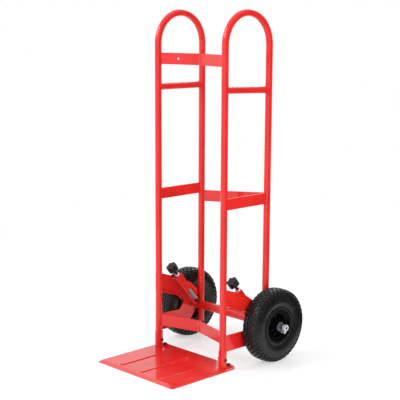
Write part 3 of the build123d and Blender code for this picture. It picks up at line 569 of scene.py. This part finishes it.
def buildRodEnds():
    r = rodLook
    foot = axleHigh[0] + r["gap"]
    tip = axleHigh[0] + r["proud"]
    holeFloor = tip - r["holeDepth"]
    endProfile = [
        (foot, r["poleRadius"]),
        (foot, r["radius"]),
        (tip - r["edge"], r["radius"]),
        (tip, r["radius"] - r["edge"]),
        (tip, r["hole"]),
        (holeFloor, r["hole"] - r["holeTaper"]),
        (holeFloor, r["poleRadius"]),
    ]
    holeShadeProfile = [
        (holeFloor + r["gap"], r["poleRadius"]),
        (holeFloor + r["gap"], r["hole"] - r["centreFoot"]),
        (holeFloor + r["centreRim"], r["hole"] - r["centreTop"]),
        (holeFloor + r["centreDish"], r["poleRadius"]),
    ]
    # the second piece is painted shade: a black disc in the hole, in the black steel finish
    for name, profile, segments, slotName in (
        ("axleRodEnds", endProfile, r["endSegments"], "zinc"),
        ("axleRodHoleShade", holeShadeProfile, r["centreSegments"], "black_steel"),
    ):
        turned = lathe(name + "Right", profile, segments)
        turned.data.transform(Matrix.Translation((0, axle.y, axle.z)))
        pair = mirroredPair(turned, name)
        smoothByAngle(pair, r["smoothAngle"])
        finishPiece(pair, "frame", slotName)


def buildGuideNuts():
    n = nutLook
    for side in sides:
        pull = Vector(pinJoint(side)["axis"])
        turn = Vector((1, 0, 0)).rotation_difference(pull).to_matrix().to_4x4()
        nut = chamferedNut(side + "GuideNut", n["guideFlats"], n["guideHeight"], n["guideBore"])
        place = Matrix.Translation(boxMiddle(side + "_pin_guide_nut"))
        centring = Matrix.Translation((-n["guideHeight"] / 2, 0, 0))
        nut.data.transform(place @ turn @ centring)
        finishPiece(nut, "frame", "zinc", [side + "_pin_guide_nut"])


buildAxleNuts()
buildRodEnds()
buildGuideNuts()
print("nuts done")


# Springs of the pull pins, copied from the frame's mesh with seams merged and smooth shading

springSmoothAngle = 50


def buildSprings():
    for side in sides:
        node = nodes[side + "_pin_spring"]
        spring = bpy.data.objects.new(side + "Spring", node.data.copy())
        bpy.context.scene.collection.objects.link(spring)
        openEdit(spring)
        bpy.ops.mesh.remove_doubles(threshold=mergeDistance)
        bpy.ops.mesh.normals_make_consistent(inside=False)
        closeEdit()
        smoothByAngle(spring, springSmoothAngle)
        finishPiece(spring, "frame", "spring_steel", [side + "_pin_spring"])
        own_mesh(spring)


buildSprings()
print("springs done")


# Weld beads where tubes, bars and brackets meet

weld = {
    "radius": 1.6 * mm,
    "ripple": 0.22,
    "pitch": 3.4 * mm,
    "spacing": 0.85 * mm,
    "ringSteps": 96,
    "proud": 0.3 * mm,
    "tubeRadius": 12.7 * mm,
    "axleTubeRadius": 17.5 * mm,
    "axleTubeGap": 1 * mm,
    "bracketThickness": 4 * mm,
    "bracketSeams": [  # y, lowest z and highest z
        (-3.4 * mm, 249 * mm, 300 * mm),
        (-3.4 * mm, 74 * mm, 128 * mm),
        (236.4 * mm, 131 * mm, 173 * mm),
    ],
    "bowAngle": 14.5,
    "upperPlate": (4 * mm, 42 * mm),
    "lowerRail": (5 * mm, 45 * mm),
    "middleRail": (5 * mm, 43.5 * mm),
    "middleRailTilt": 1 * mm,
    "smoothAngle": 60,
}


def beadOnLine(line):
    # a loop or run of edges gets a round section that swells once in each ripple
    selectOnly(line)
    bpy.ops.object.convert(target="CURVE")
    bead = bpy.context.object
    bead.data.bevel_depth = weld["radius"]
    bead.data.bevel_resolution = 1
    bead.data.use_fill_caps = True
    for spline in bead.data.splines:
        run = 0
        last = spline.points[0].co.xyz
        for point in spline.points:
            run += (point.co.xyz - last).length
            last = point.co.xyz
            point.radius = 1 + weld["ripple"] * math.sin(2 * math.pi * run / weld["pitch"])
    bpy.ops.object.convert(target="MESH")
    return bpy.context.object


def straightBead(low, high):
    # one edge of a small plane, moved to its place and divided
    deselectAll()
    bpy.ops.mesh.primitive_plane_add(size=2 * mm)
    line = bpy.context.object
    clearMeshSelection(line)
    for point in line.data.vertices[:2]:
        point.select = True
    bpy.ops.object.mode_set(mode="EDIT")
    bpy.ops.mesh.delete(type="VERT")
    closeEdit()
    for point, place in zip(line.data.vertices, (low, high)):
        point.co = place
    openEdit(line)
    bpy.ops.mesh.subdivide(number_cuts=int((high - low).length / weld["spacing"]))
    closeEdit()
    return beadOnLine(line)


def frameOf(centre, outward):
    # local X runs outward from the tube, Z stays upright
    across = Vector((-outward.y, outward.x, 0))
    return Matrix.Translation(centre) @ Matrix((outward, across, (0, 0, 1))).transposed().to_4x4()


def barSeam(centre, outward, thickness, width):
    # round the four sides of a flat bar where it meets a tube's wall
    reach = math.sqrt(weld["tubeRadius"] ** 2 - (thickness / 2) ** 2) + weld["proud"]
    deselectAll()
    bpy.ops.mesh.primitive_plane_add(size=1, rotation=(0, math.pi / 2, 0))
    line = bpy.context.object
    line.scale = (width + 2 * weld["proud"], thickness + 2 * weld["proud"], 1)
    applyPlace(line)
    openEdit(line)
    bpy.ops.mesh.delete(type="ONLY_FACE")
    bpy.ops.mesh.select_all(action="SELECT")
    bpy.ops.mesh.subdivide(number_cuts=int(width / weld["spacing"] / 2))
    closeEdit()
    line.data.transform(frameOf(centre, outward) @ Matrix.Translation((reach, 0, 0)))
    return beadOnLine(line)


def seamRing(radius):
    deselectAll()
    bpy.ops.mesh.primitive_circle_add(vertices=weld["ringSteps"], radius=radius, rotation=(0, math.pi / 2, 0))
    line = bpy.context.object
    applyPlace(line)
    return line


def tubeSeam(centre, outward):
    # the saddle line between two tubes of one size that meet square
    line = seamRing(weld["tubeRadius"] + weld["proud"])
    for point in line.data.vertices:
        point.co.x = abs(point.co.z) + weld["proud"]
    line.data.transform(frameOf(centre, outward))
    return beadOnLine(line)


def ringSeam(centre, radius):
    line = seamRing(radius)
    line.data.transform(Matrix.Translation(centre))
    return beadOnLine(line)


def loopBeads(side, tubeX, legY):
    # the rung and the flat rail between the upright and the leg of one loop
    rungLow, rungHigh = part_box(side + "_side_rung")
    barLow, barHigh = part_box(side + "_side_rail")
    barMiddle = (barLow[2] + barHigh[2]) / 2
    barWidth = barHigh[2] - barLow[2]
    barThickness = barHigh[0] - barLow[0]
    backward = Vector((0, 1, 0))
    forward = Vector((0, -1, 0))
    return [
        tubeSeam(Vector((tubeX, 0, rungHigh[2] - weld["tubeRadius"])), backward),
        tubeSeam(Vector((tubeX, legY, rungLow[2] + weld["tubeRadius"])), forward),
        barSeam(Vector((tubeX, 0, barMiddle)), backward, barThickness, barWidth),
        barSeam(Vector((tubeX, legY, barMiddle)), forward, barThickness, barWidth),
    ]


def crossBeads(sign, tubeX, legY):
    # the two bowed bars on an upright and the middle rail on its leg
    bow = math.radians(weld["bowAngle"])
    inward = Vector((-sign * math.cos(bow), math.sin(bow), 0))
    upperMiddle = boxMiddle("upper_cross_plate").z
    lowerMiddle = boxMiddle("lower_cross_rail").z
    railLow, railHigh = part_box("middle_cross_rail")
    railEnd = railHigh[2] if sign > 0 else railLow[2]
    railMiddle = railEnd - sign * (weld["middleRail"][1] / 2 + weld["middleRailTilt"])
    return [
        barSeam(Vector((tubeX, 0, upperMiddle)), inward, *weld["upperPlate"]),
        barSeam(Vector((tubeX, 0, lowerMiddle)), inward, *weld["lowerRail"]),
        barSeam(Vector((tubeX, legY, railMiddle)), Vector((-sign, 0, 0)), *weld["middleRail"]),
    ]


def bracketBeads(side, sign):
    # round the axle tube's end, and along the upright and the leg
    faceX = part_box(side + "_wheel_bracket")[0 if sign < 0 else 1][0] - sign * weld["bracketThickness"]
    ringCentre = Vector((faceX - sign * weld["axleTubeGap"], axle.y, axle.z))
    beads = [ringSeam(ringCentre, weld["axleTubeRadius"] + weld["proud"])]
    seamX = faceX + sign * weld["proud"]
    for seamY, low, high in weld["bracketSeams"]:
        beads.append(straightBead(Vector((seamX, seamY, low)), Vector((seamX, seamY, high))))
    return beads


def buildWelds():
    beads = []
    for side, sign in sides.items():
        loopLow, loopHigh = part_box(side + "_loop_tube")
        tubeX = (loopLow[0] + loopHigh[0]) / 2
        legY = loopHigh[1] - weld["tubeRadius"]
        beads += loopBeads(side, tubeX, legY)
        beads += crossBeads(sign, tubeX, legY)
        beads += bracketBeads(side, sign)
    welds = joinPieces(beads, "frameWelds")
    smoothByAngle(welds, weld["smoothAngle"])
    finishPiece(welds, "frame", "red_paint")


buildWelds()
print("welds done")


# Stage, light and camera

darkCard = {
    "near": 0.02,
    "x": 1.9,
    "front": -0.75,
    "nearFront": 0.9,
    "back": 4.6,
    "height": 3.0,
    "lift": 4 * mm,
    "color": (0.01, 0.01, 0.01),
    "roughness": 1.0,
}


def buildDarkCard():
    # studio flag that lies on the cart's right and stands up at its far edge. Only reflections see it,
    # so the faces on that side keep their deep colour
    c = darkCard
    deselectAll()
    bpy.ops.mesh.primitive_plane_add(size=1)
    card = bpy.context.object
    card.name = "darkCard"
    card.scale = (c["x"] - c["near"], c["back"] - c["front"], 1)
    card.location = ((c["x"] + c["near"]) / 2, (c["back"] + c["front"]) / 2, c["lift"])
    applyPlace(card)
    clearMeshSelection(card)
    for point in card.data.vertices:
        if point.co.x < c["near"] + mm and point.co.y < c["front"] + mm:
            point.co.y = c["nearFront"]
    bpy.context.tool_settings.mesh_select_mode = (False, True, False)
    for edge in card.data.edges:
        edge.select = all(card.data.vertices[end].co.x > c["x"] - mm for end in edge.vertices)
    bpy.ops.object.mode_set(mode="EDIT")
    bpy.ops.mesh.extrude_edges_move(TRANSFORM_OT_translate={"value": (0, 0, c["height"])})
    closeEdit()
    material, _, shader = newMaterial("darkCard", c["color"], c["roughness"])
    shader.inputs["Specular IOR Level"].default_value = 0
    card.data.materials.append(material)
    card.visible_camera = False
    card.visible_diffuse = False
    card.visible_shadow = False
    card.visible_transmission = False


stageLook = {
    "floorColor": (0.9, 0.9, 0.91),
    "floorRoughness": 0.6,
    "floorSpecular": 0.2,
    "floorSize": 16,
    "floorDrop": 0.05 * mm,
    "nearGlow": 0.5,
    "clearRadius": 1.1,
    "whiteRadius": 2.6,
    "worldLight": 0.8,
}


def seenWhite(tree):
    # 1 for what the camera sees straight, in gloss or through glass
    lightPath = addNode(tree, "ShaderNodeLightPath")
    either = addNode(tree, "ShaderNodeMath", operation="MAXIMUM")
    seen = addNode(tree, "ShaderNodeMath", operation="MAXIMUM")
    tree.links.new(lightPath.outputs["Is Camera Ray"], either.inputs[0])
    tree.links.new(lightPath.outputs["Is Glossy Ray"], either.inputs[1])
    tree.links.new(either.outputs[0], seen.inputs[0])
    tree.links.new(lightPath.outputs["Is Transmission Ray"], seen.inputs[1])
    return seen


def buildStage():
    # pale floor that turns to the white background away from the cart, and keeps the shadow near it
    look = stageLook
    deselectAll()
    bpy.ops.mesh.primitive_plane_add(size=look["floorSize"], location=(0, 0, -look["floorDrop"]))
    floor = bpy.context.object
    floor.name = "paleFloor"
    applyPlace(floor)
    material, tree, shader = newMaterial("paleFloor", look["floorColor"], look["floorRoughness"])
    shader.inputs["Specular IOR Level"].default_value = look["floorSpecular"]
    coordinates = addNode(tree, "ShaderNodeTexCoord")
    distance = addNode(tree, "ShaderNodeVectorMath", operation="LENGTH")
    fade = addNode(tree, "ShaderNodeMapRange")
    fade.inputs["From Min"].default_value = look["clearRadius"]
    fade.inputs["From Max"].default_value = look["whiteRadius"]
    fade.inputs["To Min"].default_value = look["nearGlow"]
    fade.inputs["To Max"].default_value = 1
    fade.interpolation_type = "SMOOTHSTEP"
    shown = addNode(tree, "ShaderNodeMath", operation="MULTIPLY")
    glow = addNode(tree, "ShaderNodeEmission")
    mixed = addNode(tree, "ShaderNodeMixShader")
    output = tree.nodes["Material Output"]
    tree.links.new(coordinates.outputs["Object"], distance.inputs[0])
    tree.links.new(distance.outputs["Value"], fade.inputs["Value"])
    tree.links.new(fade.outputs["Result"], shown.inputs[0])
    tree.links.new(seenWhite(tree).outputs[0], shown.inputs[1])
    tree.links.new(shown.outputs[0], mixed.inputs["Fac"])
    tree.links.new(shader.outputs["BSDF"], mixed.inputs[1])
    tree.links.new(glow.outputs["Emission"], mixed.inputs[2])
    tree.links.new(mixed.outputs["Shader"], output.inputs["Surface"])
    floor.data.materials.append(material)


def buildWorld():
    world = bpy.data.worlds.new("studio")
    bpy.context.scene.world = world
    world.use_nodes = True
    tree = world.node_tree
    background = tree.nodes["Background"]
    strength = addNode(tree, "ShaderNodeMapRange")
    strength.inputs["To Min"].default_value = stageLook["worldLight"]
    strength.inputs["To Max"].default_value = 1.0
    tree.links.new(seenWhite(tree).outputs[0], strength.inputs["Value"])
    background.inputs["Color"].default_value = (1, 1, 1, 1)
    tree.links.new(strength.outputs["Result"], background.inputs["Strength"])


# Places and sizes in metres, power in watts. A lamp that doesn't shine isn't seen in reflections.
lamps = {
    "keyLight": {
        "place": (-1.6, -2.6, 3.2), "target": (0, 0, 0.6), "size": (1.6, 1.6), "power": 80,
        "color": (0.95, 0.975, 1),
    },
    "fillLight": {
        "place": (3.4, -0.4, 1.8), "target": (0, 0.1, 0.6), "size": (1.8, 1.8), "power": 62,
        "shines": False,
    },
    "leftStrip": {"place": (0.1, -2.6, 2.5), "target": (0, 0, 1.1), "size": (0.1, 0.8), "power": 4},
    "rightStrip": {"place": (0.55, -2.6, 2.5), "target": (0, 0, 1.1), "size": (0.1, 0.8), "power": 4},
    "backLight": {"place": (-1.4, 2.6, 2.6), "target": (0, 0.1, 0.5), "size": (1.4, 1.4), "power": 24},
}


def addSoftbox(name, place, target, size, power, color=(1, 1, 1), shines=True):
    deselectAll()
    bpy.ops.object.light_add(type="AREA", location=place)
    lamp = bpy.context.object
    lamp.name = name
    lamp.data.shape = "RECTANGLE"
    lamp.data.size, lamp.data.size_y = size
    lamp.data.energy = power
    lamp.data.color = color
    lamp.rotation_euler = (Vector(target) - Vector(place)).to_track_quat("-Z", "Y").to_euler()
    lamp.visible_camera = False
    lamp.visible_glossy = shines


cameraView = {
    "azimuth": 45.76,
    "pitch": 10.93,
    "roll": 0.267,
    "place": (2.7380, -2.6149, 1.2654),
    "focalPixels": 1043.39,
    "framePixels": 400,
    "centrePixel": (200.16, 220.03),
    "sensor": 36,
    "clipEnd": 100,
}


def buildCamera():
    c = cameraView
    data = bpy.data.cameras.new("photoCamera")
    camera = bpy.data.objects.new("photoCamera", data)
    bpy.context.scene.collection.objects.link(camera)
    data.sensor_width = c["sensor"]
    data.sensor_fit = "HORIZONTAL"
    data.lens = c["focalPixels"] * c["sensor"] / c["framePixels"]
    half = c["framePixels"] / 2
    data.shift_x = (half - c["centrePixel"][0]) / c["framePixels"]
    data.shift_y = (c["centrePixel"][1] - half) / c["framePixels"]
    data.clip_end = c["clipEnd"]
    turn = Matrix.Rotation(math.radians(c["azimuth"]), 4, "Z")
    tip = Matrix.Rotation(math.radians(90 - c["pitch"]), 4, "X")
    roll = Matrix.Rotation(math.radians(c["roll"]), 4, "Z")
    camera.matrix_world = Matrix.Translation(c["place"]) @ turn @ tip @ roll
    bpy.context.scene.camera = camera


buildStage()
buildWorld()
buildDarkCard()
for name, settings in lamps.items():
    addSoftbox(name, **settings)
buildCamera()
scene = bpy.context.scene
scene.view_settings.view_transform = "Standard"
print("stage, light and camera done")
